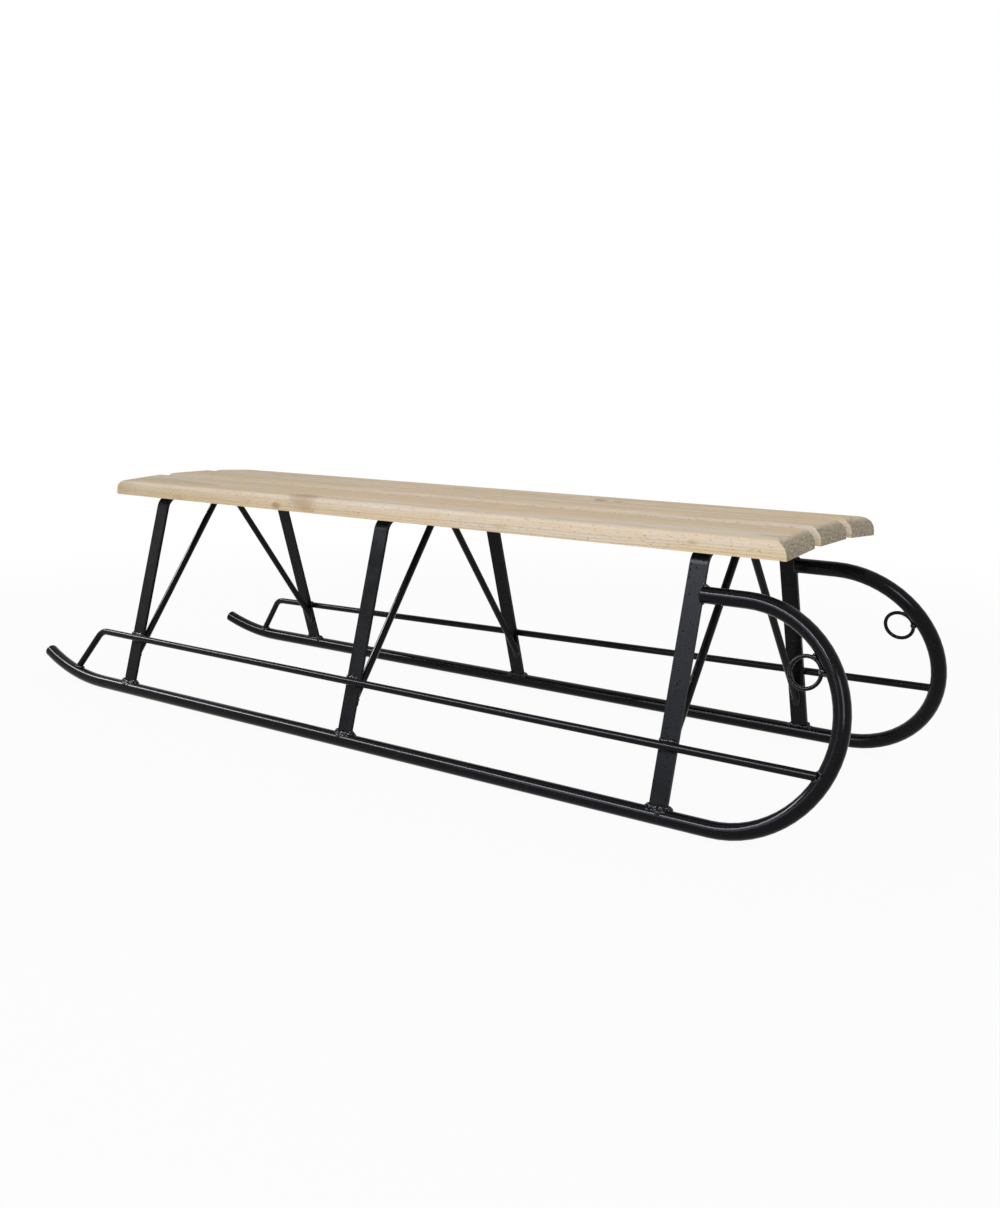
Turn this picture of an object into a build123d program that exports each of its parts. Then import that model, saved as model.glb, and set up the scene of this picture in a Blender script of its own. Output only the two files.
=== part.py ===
from build123d import *

import os
from collections import namedtuple
from math import atan2, cos, degrees, radians, sin, sqrt, tan

# Two-seat sled: two bent tube runners, three flat-bar hoops, round-bar bracing and three seat slats.
# Millimetres. +X forward (the big front bends), +Y to the sled's left, +Z up, ground at Z = 0.

# Sections of the tube, bars and wire, over their paint
tube_diameter = 17.2
tube_wall = 1.8
rod_diameter = 8.8
ring_wire_diameter = 4.0
flat_width = 20.0
flat_thickness = 4.0

# Stance of the two side frames
half_track = 182.0
lean_angle = 16.5

# Hoops, their places along the sled counted from the middle one
rear_hoop_pitch = 399.0
front_hoop_pitch = 420.0
crossbar_top_height = 270.0
crossbar_drop_angle = 3.6
crossbar_crank_radius = 60.0
hoop_corner_inner_radius = 16.0
leg_foot_height = 12.0

# Runners: their front bends start ahead of the front hoop and end on its legs, below the crossbar
loop_centre_ahead = 57.0
loop_top_below_crossbar = 48.6
tail_angle = 23.5
tail_end_rounding = 3.0
tail_end_thickness = 3.5

# Side rods: straight over the legs' outer faces, with a foot behind the rear hoop turned in to the runner's axis
side_rod_foot_behind = 120.0
side_rod_corner_behind = 71.0
side_rod_bend_radius = 22.0
side_rod_end_bite = 1.5

# The two side frames were bent and welded by hand, so their tails and side rods differ a little
left_tail_start_behind = 91.0
left_tail_radius = 260.0
left_rod_height_at_rear_leg = 64.0
left_rod_height_at_front_leg = 82.0
right_tail_start_behind = 56.0
right_tail_radius = 330.0
right_rod_height_at_rear_leg = 69.5
right_rod_height_at_front_leg = 70.0

# Braces under each crossbar, each pair welded a little ahead of or behind the flat bar's middle
brace_top_half_gap = 9.2
brace_foot_height = 50.0
brace_spare_length = 25.0
rear_braces_ahead = 3.0
middle_braces_ahead = 4.5
front_braces_ahead = -1.5

# Tow rings inside the front bends
ring_outer_diameter = 35.0
ring_direction = 36.5
ring_seat = 0.3

# Seat slats
slat_width = 70.0
slat_thickness = 20.0
slat_gap = 16.0
slat_rear_overhang = 85.0
slat_front_overhang = 96.0
slat_front_end_radius = 16.0
slat_rear_end_radius = 17.0
slat_edge_radius = 6.0

# Sizes worked out from the ones above
tube_radius = tube_diameter / 2
bore_radius = tube_radius - tube_wall
rod_radius = rod_diameter / 2
lean = radians(lean_angle)
drop = radians(crossbar_drop_angle)
tail_sweep = radians(tail_angle)
slat_pitch = slat_width + slat_gap
loop_radius = ((crossbar_top_height - tube_radius) / cos(lean) - loop_top_below_crossbar) / 2
SideFrame = namedtuple("SideFrame", "side tail_start tail_radius rod_height_rear rod_height_front")
side_frames = (
    SideFrame(
        "left",
        left_tail_start_behind,
        left_tail_radius,
        left_rod_height_at_rear_leg,
        left_rod_height_at_front_leg,
    ),
    SideFrame(
        "right",
        right_tail_start_behind,
        right_tail_radius,
        right_rod_height_at_rear_leg,
        right_rod_height_at_front_leg,
    ),
)

# The sled's length, from the front bends to the longer tail's rounded end, is centred on X = 0
front_reach = front_hoop_pitch + loop_centre_ahead + loop_radius + tube_radius
tail_end_reach = tail_end_rounding * (1 - cos(tail_sweep)) + (tube_radius - tail_end_rounding) * sin(tail_sweep)
tail_reach = max(frame.tail_start + frame.tail_radius * sin(tail_sweep) for frame in side_frames)
middle_hoop_x = (rear_hoop_pitch + tail_reach + tail_end_reach - front_reach) / 2
rear_hoop_x = middle_hoop_x - rear_hoop_pitch
front_hoop_x = middle_hoop_x + front_hoop_pitch
Hoop = namedtuple("Hoop", "place x braces_x")
hoops = (
    Hoop("rear", rear_hoop_x, rear_hoop_x + rear_braces_ahead),
    Hoop("middle", middle_hoop_x, middle_hoop_x + middle_braces_ahead),
    Hoop("front", front_hoop_x, front_hoop_x + front_braces_ahead),
)
loop_x = front_hoop_x + loop_centre_ahead
slat_rear_x = rear_hoop_x - slat_rear_overhang
slat_length = front_hoop_x + slat_front_overhang - slat_rear_x

# The left side frame leans in one plane through the runner's axis: local x forward, local y up the lean.
side_plane = Plane(
    origin=(0, half_track, tube_radius),
    x_dir=(1, 0, 0),
    z_dir=(0, -cos(lean), -sin(lean)),
)


def round_bar(path, radius):
    """Sweeps a disc along a line of tangent runs and bends."""
    wire = path.wire()
    return sweep(Plane(origin=wire @ 0, z_dir=wire % 0) * Circle(radius), path=wire)


def largest_solid(shape):
    return max(shape.solids(), key=lambda solid: solid.volume)


# Runner: turned-up tail, long straight on the ground, half-circle front bend, short run back to the front leg
def runner_path(frame, tail_trim):
    tail_x = rear_hoop_x - frame.tail_start
    tail_size = tail_angle - tail_trim
    top_y = 2 * loop_radius
    path = (
        CenterArc((tail_x, frame.tail_radius), frame.tail_radius, 270 - tail_size, tail_size)
        + Line((tail_x, 0), (loop_x, 0))
        + CenterArc((loop_x, loop_radius), loop_radius, 270, 180)
        + Line((loop_x, top_y), (front_hoop_x + flat_width / 2, top_y))
    )
    return side_plane * path


def runner_outside(frame):
    """The runner's tube without its bore, which also cuts the saddles of what is welded to it."""
    return round_bar(runner_path(frame, 0), tube_radius)


def make_runner(frame):
    outer = runner_outside(frame)
    tail_rim = outer.edges().filter_by(GeomType.CIRCLE).sort_by(Axis.X)[0]
    outer = fillet(tail_rim, tail_end_rounding)
    bore = round_bar(runner_path(frame, degrees(tail_end_thickness / frame.tail_radius)), bore_radius)
    return largest_solid(outer - bore)


# Hoop: one flat bar bent into two leaning legs and a crossbar cranked so the outer slats lean outwards
def bar_face(depth, foot_z):
    """Area under the line `depth` below the bar's outer face, corners rounded."""
    out = flat_thickness / 2 - depth
    top_z = crossbar_top_height - depth
    crank_y = slat_pitch / 2 - depth * tan(drop / 2)
    # The leg's line is y = foot - z * tan(lean); the outer crossbar's is z = top_z - (y - crank_y) * tan(drop).
    foot = half_track + tube_radius * tan(lean) + out / cos(lean)
    corner_y = (foot - (top_z + crank_y * tan(drop)) * tan(lean)) / (1 - tan(drop) * tan(lean))
    corner_z = top_z - (corner_y - crank_y) * tan(drop)
    half = [(foot - foot_z * tan(lean), foot_z), (corner_y, corner_z), (crank_y, top_z)]
    other = [(-y, z) for y, z in reversed(half)]
    face = make_face(Polyline(*half, *other, close=True))
    face = fillet(vertices_at_y(face, corner_y), hoop_corner_inner_radius + flat_thickness - depth)
    return fillet(vertices_at_y(face, crank_y), crossbar_crank_radius - depth)


def vertices_at_y(face, y):
    """The two vertices at that distance from the middle, in a face whose local x is the sled's Y."""
    return face.vertices().filter_by(lambda vertex: abs(abs(vertex.X) - y) < 0.001)


def make_hoop(x):
    profile = bar_face(0, leg_foot_height) - bar_face(flat_thickness, 0)
    bar = Plane.YZ.offset(x) * extrude(profile, flat_width / 2, both=True)
    for y in half_track, -half_track:
        bar -= Pos(x, y, tube_radius) * Rot(0, 90, 0) * Cylinder(tube_radius, 2 * flat_width)
    return largest_solid(bar)


# Brace: round bar from the crossbar's underside down to the inner face of the left leg
def make_brace(x, hoop_bar):
    top = Vector(x, brace_top_half_gap, crossbar_top_height - flat_thickness)
    foot = side_plane.from_local_coords(Vector(x, brace_foot_height, flat_thickness / 2))
    along = (foot - top).normalized()
    start = top - along * brace_spare_length
    length = (foot - top).length + 2 * brace_spare_length
    bar = extrude(Plane(origin=start, z_dir=along) * Circle(rod_radius), length)
    return largest_solid(bar - hoop_bar)


# Side rod: foot on the turned-up tail, one bend, then a straight run over the legs to the front bend
def make_side_rod(frame):
    out = flat_thickness / 2 + rod_radius
    slope = atan2(frame.rod_height_front - frame.rod_height_rear, rear_hoop_pitch + front_hoop_pitch)
    forward = Vector(cos(slope), sin(slope))
    over_rear_leg = Vector(rear_hoop_x, frame.rod_height_rear)
    corner = over_rear_leg - forward * (side_rod_corner_behind / cos(slope))
    # The straight run ends where its line meets the front bend's inner surface
    reach = sqrt(tube_radius**2 - out**2)
    from_centre = corner - Vector(loop_x, loop_radius)
    half_b = from_centre.dot(forward)
    run = -half_b + sqrt(half_b**2 - from_centre.length**2 + (loop_radius - reach) ** 2)
    end = corner + forward * (run + side_rod_end_bite)
    # The foot's line goes to the tail's axis, and the tail cuts it off at its surface
    behind_tail_start = side_rod_foot_behind - frame.tail_start
    foot_y = frame.tail_radius - sqrt(frame.tail_radius**2 - behind_tail_start**2)
    points = (
        Vector(rear_hoop_x - side_rod_foot_behind, foot_y, 0),
        Vector(corner.X, corner.Y, -out),
        Vector(end.X, end.Y, -out),
    )
    path = FilletPolyline(*map(side_plane.from_local_coords, points), radius=side_rod_bend_radius)
    return largest_solid(round_bar(path, rod_radius) - runner_outside(frame))


# Tow ring: closed wire ring welded to the inside of the front bend, in the bend's own plane
def make_tow_ring(frame):
    ring_radius = (ring_outer_diameter - ring_wire_diameter) / 2
    away = loop_radius - tube_radius - ring_outer_diameter / 2 + ring_seat
    ring_x = loop_x + away * cos(radians(ring_direction))
    ring_y = loop_radius + away * sin(radians(ring_direction))
    ring = side_plane * Pos(ring_x, ring_y, 0) * Torus(ring_radius, ring_wire_diameter / 2)
    return largest_solid(ring - runner_outside(frame))


# Slat: board planed with rounded top long edges, its top end corners then rounded off
def make_slat(side):
    length_line = Rectangle(slat_length, slat_thickness, align=(Align.MIN, Align.MIN))
    top_corners = length_line.vertices().group_by(Axis.Y)[-1].sort_by(Axis.X)
    outline = fillet(top_corners[0], slat_rear_end_radius)
    outline = fillet(outline.vertices().group_by(Axis.Y)[-1].sort_by(Axis.X)[-1], slat_front_end_radius)
    section = Rectangle(slat_width, slat_thickness, align=(Align.CENTER, Align.MIN))
    section = fillet(section.vertices().group_by(Axis.Y)[-1], slat_edge_radius)
    planed = extrude(Plane.YZ * section, slat_length)
    board = largest_solid(planed & extrude(Plane.XZ * outline, slat_width / 2, both=True))
    if side == 0:
        return Pos(slat_rear_x, 0, crossbar_top_height) * board
    crank = Pos(slat_rear_x, side * slat_pitch / 2, crossbar_top_height)
    return crank * Rot(-side * crossbar_drop_angle, 0, 0) * Pos(0, side * slat_pitch / 2, 0) * board


def on_side(left_part, side):
    """A piece built on the left, mirrored where it belongs on the right."""
    return left_part if side == "left" else mirror(left_part, about=Plane.XZ)


pieces = {}
hoop_bars = {hoop.place: make_hoop(hoop.x) for hoop in hoops}
for frame in side_frames:
    pieces["runner_" + frame.side] = on_side(make_runner(frame), frame.side)
    pieces["side_rod_" + frame.side] = on_side(make_side_rod(frame), frame.side)
    pieces["tow_ring_" + frame.side] = on_side(make_tow_ring(frame), frame.side)
    for hoop in hoops:
        brace = make_brace(hoop.braces_x, hoop_bars[hoop.place])
        pieces[f"brace_{hoop.place}_{frame.side}"] = on_side(brace, frame.side)
for place, bar in hoop_bars.items():
    pieces["hoop_" + place] = bar
for name, side in (("slat_left", 1), ("slat_middle", 0), ("slat_right", -1)):
    pieces[name] = make_slat(side)

os.makedirs("parts", exist_ok=True)
for name, piece in pieces.items():
    export_step(piece, f"parts/{name}.step")
    print(name, round(piece.volume), "mm3")
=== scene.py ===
"""Two-seat sled: the looks of its painted welded frame and bare softwood seat, and the studio round it.

Metres, in the model's own frame: +X forward to the big front bends, +Y to the sled's left, +Z up.
"""

import logging
import math
import random
from dataclasses import dataclass, field
from enum import Enum
from typing import Iterable, Sequence

import bmesh
import bpy
from mathutils import Matrix, Vector
from mathutils.bvhtree import BVHTree


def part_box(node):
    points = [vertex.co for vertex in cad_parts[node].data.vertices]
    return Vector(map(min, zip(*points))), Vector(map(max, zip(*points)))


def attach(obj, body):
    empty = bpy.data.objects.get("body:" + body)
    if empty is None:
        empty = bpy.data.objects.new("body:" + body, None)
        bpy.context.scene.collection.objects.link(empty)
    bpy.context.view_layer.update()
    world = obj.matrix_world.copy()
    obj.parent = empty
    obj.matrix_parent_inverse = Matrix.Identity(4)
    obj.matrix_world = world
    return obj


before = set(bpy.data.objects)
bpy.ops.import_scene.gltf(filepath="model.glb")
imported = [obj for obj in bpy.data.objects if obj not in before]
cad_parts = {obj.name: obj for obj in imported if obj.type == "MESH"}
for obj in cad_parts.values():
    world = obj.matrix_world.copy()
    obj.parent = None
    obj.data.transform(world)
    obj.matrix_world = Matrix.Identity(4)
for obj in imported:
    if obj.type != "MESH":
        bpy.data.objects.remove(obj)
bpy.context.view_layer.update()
BODY = "root"
MM = 0.001
SAME_PLACE = 0.001 * MM
log = logging.getLogger("sled")

Triple = tuple[float, float, float]
Colour = Triple
Range = tuple[float, float]
Socket = bpy.types.NodeSocket


class Side(Enum):
    """The sled's two sides, with the sign of Y."""

    LEFT = 1
    RIGHT = -1


class Station(Enum):
    """The three hoops, by the node that each one is."""

    REAR = "rear"
    MIDDLE = "middle"
    FRONT = "front"


class Plank(Enum):
    """The three seat slats, with the side that each lies on."""

    LEFT = 1
    MIDDLE = 0
    RIGHT = -1


# Places and sizes


@dataclass(frozen=True)
class Stock:
    """Section sizes of the bars and tubes that the frame is welded from.

    Args:
        tube_radius: radius of the runners' tube.
        rod_radius: radius of the braces' and side rods' round bar.
        flat_width: width of the hoops' flat bar.
        flat_thickness: thickness of that bar.
        ring_wire_radius: radius of the tow rings' wire.
    """

    tube_radius: float = 8.6 * MM
    rod_radius: float = 4.4 * MM
    flat_width: float = 20 * MM
    flat_thickness: float = 4 * MM
    ring_wire_radius: float = 2 * MM


@dataclass(frozen=True)
class SidePlane:
    """The plane that one side frame leans in, through its runner's axis.

    Args:
        side: which side it is.
        half_track: distance of the runner's axis from the sled's middle.
        axis_height: height of that axis above the ground.
        lean: angle of the plane from the vertical.
    """

    side: Side
    half_track: float
    axis_height: float
    lean: float

    def point(self, x: float, up: float, out: float) -> Vector:
        """Places a point by its distances.

        Args:
            x: its distance forward.
            up: its distance up the lean from the runner's axis.
            out: its distance outwards from the plane.

        Returns:
            The point in the sled's frame.
        """
        y = self.half_track - up * math.sin(self.lean) + out * math.cos(self.lean)
        z = self.axis_height + up * math.cos(self.lean) + out * math.sin(self.lean)
        return Vector((x, self.side.value * y, z))

    def direction(self, x: float, up: float, out: float) -> Vector:
        """The unit vector of a direction given the way a point is."""
        return (self.point(x, up, out) - self.point(0, 0, 0)).normalized()


@dataclass(frozen=True)
class Plan:
    """Places that several sub-assemblies share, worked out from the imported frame.

    Args:
        stock: the bars' and tubes' sizes.
        lean: angle of the side frames from the vertical.
        drop: angle of the crossbars' outer halves below the horizontal.
        ring_direction: where the tow ring sits on the front bend, above the forward line.
        slat_pitch: distance from one slat's middle to the next.
    """

    stock: Stock = Stock()
    lean: float = math.radians(16.5)
    drop: float = math.radians(3.6)
    ring_direction: float = math.radians(36.5)
    slat_pitch: float = 86 * MM

    def side_plane(self, side: Side) -> SidePlane:
        """The leaning plane of one side frame."""
        half_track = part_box("runner_left")[1].y - self.stock.tube_radius
        return SidePlane(side, half_track, self.stock.tube_radius, self.lean)

    def hoop_x(self, station: Station) -> float:
        """A hoop's place along the sled."""
        low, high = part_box(f"hoop_{station.value}")
        return (low.x + high.x) / 2

    @property
    def crossbar_top(self) -> float:
        """Height of the crossbars' flat middle stretch."""
        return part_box("hoop_middle")[1].z

    @property
    def loop_radius(self) -> float:
        """Radius of the front bends' axis."""
        tube = self.stock.tube_radius
        return (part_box("runner_left")[1].z - 2 * tube) / (2 * math.cos(self.lean))

    @property
    def loop_x(self) -> float:
        """Place of the front bends' centre along the sled."""
        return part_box("runner_left")[1].x - self.stock.tube_radius - self.loop_radius


# Shader graphs


class Graph:
    """Adds and links the nodes of one material or node group."""

    def __init__(self, tree: bpy.types.NodeTree) -> None:
        """Starts on a tree that holds no nodes yet."""
        self.tree = tree

    def node(self, kind: str, inputs: dict | None = None, **settings) -> bpy.types.Node:
        """Adds a node.

        Args:
            kind: the node's type without the "ShaderNode" that all of them start with.
            inputs: socket names or numbers, each with a value or the socket that feeds it.
            settings: the node's own properties.

        Returns:
            The new node.
        """
        made = self.tree.nodes.new(kind if kind.startswith("NodeGroup") else f"ShaderNode{kind}")
        for name, value in settings.items():
            setattr(made, name, value)
        for name, value in (inputs or {}).items():
            self.feed(made.inputs[name], value)
        return made

    def feed(self, target: Socket, value: object) -> None:
        """Links a socket to the target, or sets the target's value.

        Args:
            target: the input.
            value: the socket or the value.
        """
        if isinstance(value, bpy.types.NodeSocket):
            self.tree.links.new(value, target)
        elif target.type == "RGBA" and len(value) == 3:
            target.default_value = (*value, 1.0)
        else:
            target.default_value = value

    def math(self, operation: str, *terms: object, clamp: bool = False) -> Socket:
        """One Math node's result, held between zero and one where it is clamped."""
        inputs = dict(enumerate(terms))
        return self.node("Math", inputs, operation=operation, use_clamp=clamp).outputs[0]

    def multiply(self, first: object, second: object) -> Socket:
        """The product of two values."""
        return self.math("MULTIPLY", first, second)

    def vector(self, operation: str, *terms: object) -> Socket:
        """One Vector Math node's vector."""
        return self.node("VectorMath", dict(enumerate(terms)), operation=operation).outputs[0]

    def length(self, vector: Socket) -> Socket:
        """A vector's length."""
        return self.node("VectorMath", {0: vector}, operation="LENGTH").outputs["Value"]

    def blend(self, factor: object, low: object, high: object, way: str = "MIX") -> Socket:
        """Mixes two colours.

        Args:
            factor: share of the mixture that shows.
            low: the colour where the factor is zero.
            high: the colour mixed into it.
            way: the Mix node's way of mixing.

        Returns:
            The mixed colour.
        """
        made = self.node("Mix", data_type="RGBA", blend_type=way)
        colour_inputs = [s for s in made.inputs if s.type == "RGBA"]
        self.feed(made.inputs[0], factor)
        self.feed(colour_inputs[0], low)
        self.feed(colour_inputs[1], high)
        return next(s for s in made.outputs if s.type == "RGBA")

    def step(self, value: object, start: float, end: float, low: float = 0.0, high: float = 1.0) -> Socket:
        """A smooth step from low to high as the value goes from start to end."""
        inputs = {"Value": value, "From Min": start, "From Max": end, "To Min": low, "To Max": high}
        return self.node("MapRange", inputs, interpolation_type="SMOOTHSTEP").outputs[0]

    def noise(self, vector: Socket, scale: float, detail: float = 2.0, roughness: float = 0.5) -> Socket:
        """A noise value about 0.5."""
        inputs = {"Vector": vector, "Scale": scale, "Detail": detail, "Roughness": roughness}
        return self.node("TexNoise", inputs).outputs[0]

    def stretched(self, vector: Socket, scales: Triple) -> Socket:
        """The vector with its three parts scaled."""
        return self.vector("MULTIPLY", vector, scales)

    def streaks(self, vector: Socket, scales: Triple, detail: float = 2.0, roughness: float = 0.5) -> Socket:
        """A noise value about 0.5 with its own scale along each axis."""
        return self.noise(self.stretched(vector, scales), 1.0, detail, roughness)

    def bump(self, height: Socket, strength: float, distance: float) -> Socket:
        """A normal from a height."""
        inputs = {"Height": height, "Strength": strength, "Distance": distance}
        return self.node("Bump", inputs).outputs[0]


def shader_group(
    name: str,
    inputs: Sequence[tuple[str, str, object]],
    outputs: Sequence[str],
) -> tuple[bpy.types.NodeTree, Graph, dict[str, Socket], bpy.types.Node]:
    """Starts a node group that gives out values.

    Args:
        name: the group's name.
        inputs: socket name, kind ("Float" or "Vector") and default of each input.
        outputs: names of the value outputs.

    Returns:
        The group, its graph, its input sockets by name and its output node.
    """
    tree = bpy.data.node_groups.new(name, "ShaderNodeTree")
    for label, kind, default in inputs:
        made = tree.interface.new_socket(label, in_out="INPUT", socket_type=f"NodeSocket{kind}")
        made.default_value = default
    for label in outputs:
        tree.interface.new_socket(label, in_out="OUTPUT", socket_type="NodeSocketFloat")
    graph = Graph(tree)
    start = graph.node("NodeGroupInput")
    end = graph.node("NodeGroupOutput")
    return tree, graph, {s.name: s for s in start.outputs if s.name}, end


@dataclass
class SpotMask:
    """A soft-edged blot about one point, for knots, stains and scars.

    Args:
        ragged_scale: waves a metre of the edge's raggedness.
        core: share of the reach inside which the blot is at full strength.
        tree: the node group.
    """

    ragged_scale: float = 260.0
    core: float = 0.25
    tree: bpy.types.NodeTree = field(init=False)

    def __post_init__(self) -> None:
        """Builds the group once."""
        inputs = (
            ("Vector", "Vector", (0, 0, 0)),
            ("Centre", "Vector", (0, 0, 0)),
            ("Reach", "Vector", (0.01, 0.01, 0.01)),
            ("Ragged", "Float", 0.3),
        )
        self.tree, graph, given, end = shader_group("spot_mask", inputs, ["Mask"])
        from_centre = graph.vector("SUBTRACT", given["Vector"], given["Centre"])
        distance = graph.length(graph.vector("DIVIDE", from_centre, given["Reach"]))
        uneven = graph.math("SUBTRACT", graph.noise(given["Vector"], self.ragged_scale, detail=3), 0.5)
        distance = graph.math("ADD", distance, graph.multiply(uneven, given["Ragged"]))
        graph.feed(end.inputs["Mask"], graph.step(distance, 1.0, self.core))

    def place(self, graph: Graph, vector: Socket, centre: Triple, reach: Triple, ragged: float) -> Socket:
        """Places the mask in a material.

        Args:
            graph: the material's graph.
            vector: the place that is shaded.
            centre: the blot's middle.
            reach: how far it goes along each axis.
            ragged: how uneven its edge is.

        Returns:
            The mask's value.
        """
        made = graph.node("Group", node_tree=self.tree)
        for name, value in (("Vector", vector), ("Centre", centre), ("Reach", reach), ("Ragged", ragged)):
            graph.feed(made.inputs[name], value)
        return made.outputs["Mask"]


@dataclass(frozen=True)
class Dots:
    """Small round dots, each about the point of a cell, in some of the cells only.

    Args:
        scale: cells a metre.
        channel: which of a cell's three random values says whether it has a dot.
        chance: the random values from which a dot begins to show and shows fully.
        rim: the distances at which a dot begins to show and shows fully.
    """

    scale: float
    channel: int
    chance: Range
    rim: Range

    def mask(self, graph: Graph, place: Socket) -> Socket:
        """Adds the dots to a graph.

        Args:
            graph: the graph that takes them.
            place: the place that is shaded.

        Returns:
            A value of one inside the dots.
        """
        cell = graph.node("TexVoronoi", {"Vector": place, "Scale": self.scale})
        value = graph.node("SeparateColor", {0: cell.outputs["Color"]}).outputs[self.channel]
        inside = graph.step(cell.outputs["Distance"], *self.rim)
        return graph.multiply(inside, graph.step(value, *self.chance))


@dataclass
class PaintSkin:
    """Brushed-on gloss paint: orange peel, slow waves, pits and settled dust.

    Args:
        peel_scale: waves a metre of the orange peel.
        wave_scale: waves a metre of the slow waves.
        wave_height: height of the slow waves.
        cloud_scale: waves a metre of the change from gloss to matt.
        pits: the pits in the paint.
        pit_depth: depth of the pits.
        dust: the specks of dust.
        tree: the node group.
    """

    peel_scale: float = 750.0
    wave_scale: float = 95.0
    wave_height: float = 1.6
    cloud_scale: float = 34.0
    pits: Dots = Dots(scale=330.0, channel=0, chance=(0.80, 0.84), rim=(0.44, 0.26))
    pit_depth: float = 0.9
    dust: Dots = Dots(scale=520.0, channel=1, chance=(0.955, 0.97), rim=(0.30, 0.12))
    tree: bpy.types.NodeTree = field(init=False)

    def __post_init__(self) -> None:
        """Builds the group once."""
        inputs = (
            ("Vector", "Vector", (0, 0, 0)),
            ("Peel", "Float", 0.5),
            ("Pits", "Float", 0.5),
        )
        outputs = ["Height", "Matt", "Dust", "Pitted"]
        self.tree, graph, given, end = shader_group("paint_skin", inputs, outputs)
        place = given["Vector"]
        peel = graph.noise(place, self.peel_scale)
        waves = graph.multiply(graph.noise(place, self.wave_scale), self.wave_height)
        pits = graph.multiply(self.pits.mask(graph, place), given["Pits"])
        height = graph.math("MULTIPLY_ADD", peel, given["Peel"], waves)
        height = graph.math("SUBTRACT", height, graph.multiply(pits, self.pit_depth))
        graph.feed(end.inputs["Height"], height)
        graph.feed(end.inputs["Matt"], graph.noise(place, self.cloud_scale, detail=4, roughness=0.6))
        graph.feed(end.inputs["Pitted"], pits)
        graph.feed(end.inputs["Dust"], self.dust.mask(graph, place))


@dataclass
class PineFigure:
    """Growth rings about a pith line, long fibres, tone bands and torn pores of a sawn board.

    A scale of three numbers is in waves a metre along, across and up the board.

    Args:
        wander_scale: scale of the rings' wandering.
        wander_reach: how far the rings wander along each axis.
        late_rise: share of a year at which the latewood begins and is full.
        late_fall: share of a year at which it has ended and is still full.
        faintest_year: strength of the faintest year's latewood.
        fibre_scale: scale of the fibres.
        band_scale: scale of the tone bands.
        pore_scale: scale of the pores.
        pore_range: values of that noise at which a pore begins and is full.
        saw_turn: turn of the saw's strokes about the sled's length.
        saw_scale: scale of the saw's strokes.
        tree: the node group.
    """

    wander_scale: Triple = (2.2, 9, 9)
    wander_reach: Triple = (0, 0.022, 0.016)
    late_rise: Range = (0.30, 0.86)
    late_fall: Range = (1.0, 0.92)
    faintest_year: float = 0.35
    fibre_scale: Triple = (26, 1500, 1500)
    band_scale: Triple = (1.7, 48, 48)
    pore_scale: Triple = (190, 800, 800)
    pore_range: Range = (0.60, 0.72)
    saw_turn: float = math.radians(38)
    saw_scale: Triple = (500, 260, 1300)
    tree: bpy.types.NodeTree = field(init=False)

    def __post_init__(self) -> None:
        """Builds the group once."""
        inputs = (
            ("Vector", "Vector", (0, 0, 0)),
            ("Pith", "Vector", (0, 0, -0.08)),
            ("Ring Width", "Float", 3.4 * MM),
        )
        outputs = ["Latewood", "Fibre", "Bands", "Pores", "Saw"]
        self.tree, graph, given, end = shader_group("pine_figure", inputs, outputs)
        place = given["Vector"]
        rings = graph.math("DIVIDE", self.pith_distance(graph, place, given["Pith"]), given["Ring Width"])
        graph.feed(end.inputs["Latewood"], self.latewood(graph, rings))
        graph.feed(end.inputs["Fibre"], graph.streaks(place, self.fibre_scale, detail=4, roughness=0.6))
        graph.feed(end.inputs["Bands"], graph.streaks(place, self.band_scale, detail=3, roughness=0.55))
        graph.feed(end.inputs["Pores"], graph.step(graph.streaks(place, self.pore_scale), *self.pore_range))
        tilted = graph.node("Mapping", {"Vector": place, "Rotation": (self.saw_turn, 0, 0)}).outputs[0]
        graph.feed(end.inputs["Saw"], graph.streaks(tilted, self.saw_scale, detail=3, roughness=0.6))

    def pith_distance(self, graph: Graph, place: Socket, pith: Socket) -> Socket:
        """Measures how far a place is from the pith line, which runs along the board and wanders.

        Args:
            graph: the group's graph.
            place: the place that is shaded.
            pith: a point on the pith line.

        Returns:
            The distance.
        """
        wander = graph.node("TexNoise", {"Vector": graph.stretched(place, self.wander_scale), "Scale": 1.0})
        drift = graph.vector("SUBTRACT", wander.outputs["Color"], (0.5, 0.5, 0.5))
        bent = graph.vector("ADD", place, graph.stretched(drift, self.wander_reach))
        return graph.length(graph.stretched(graph.vector("SUBTRACT", bent, pith), (0, 1, 1)))

    def latewood(self, graph: Graph, rings: Socket) -> Socket:
        """Draws the dark part of each year's growth, some years fainter than others.

        Args:
            graph: the group's graph.
            rings: the number of years from the pith.

        Returns:
            The latewood's strength.
        """
        phase = graph.math("FRACT", rings)
        band = graph.multiply(graph.step(phase, *self.late_rise), graph.step(phase, *self.late_fall))
        whole_years = graph.math("FLOOR", rings)
        year = graph.node("TexWhiteNoise", {"W": whole_years}, noise_dimensions="1D").outputs[0]
        strength = graph.math("MULTIPLY_ADD", year, 1 - self.faintest_year, self.faintest_year)
        return graph.multiply(band, strength)


@dataclass
class Groups:
    """The node groups that more than one material uses.

    Args:
        spot: blots.
        paint: the paint's skin.
        pine: the boards' figure.
    """

    spot: SpotMask = field(default_factory=SpotMask)
    paint: PaintSkin = field(default_factory=PaintSkin)
    pine: PineFigure = field(default_factory=PineFigure)


def seen_directly(graph: Graph) -> Socket:
    """Tells the rays that show the white surroundings as they are: seen, mirrored or seen through.

    Args:
        graph: the material's or world's graph.

    Returns:
        A value of one for those rays.
    """
    rays = graph.node("LightPath")
    mirrored = graph.math("MAXIMUM", rays.outputs["Is Glossy Ray"], rays.outputs["Is Transmission Ray"])
    return graph.math("MAXIMUM", rays.outputs["Is Camera Ray"], mirrored)


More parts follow.
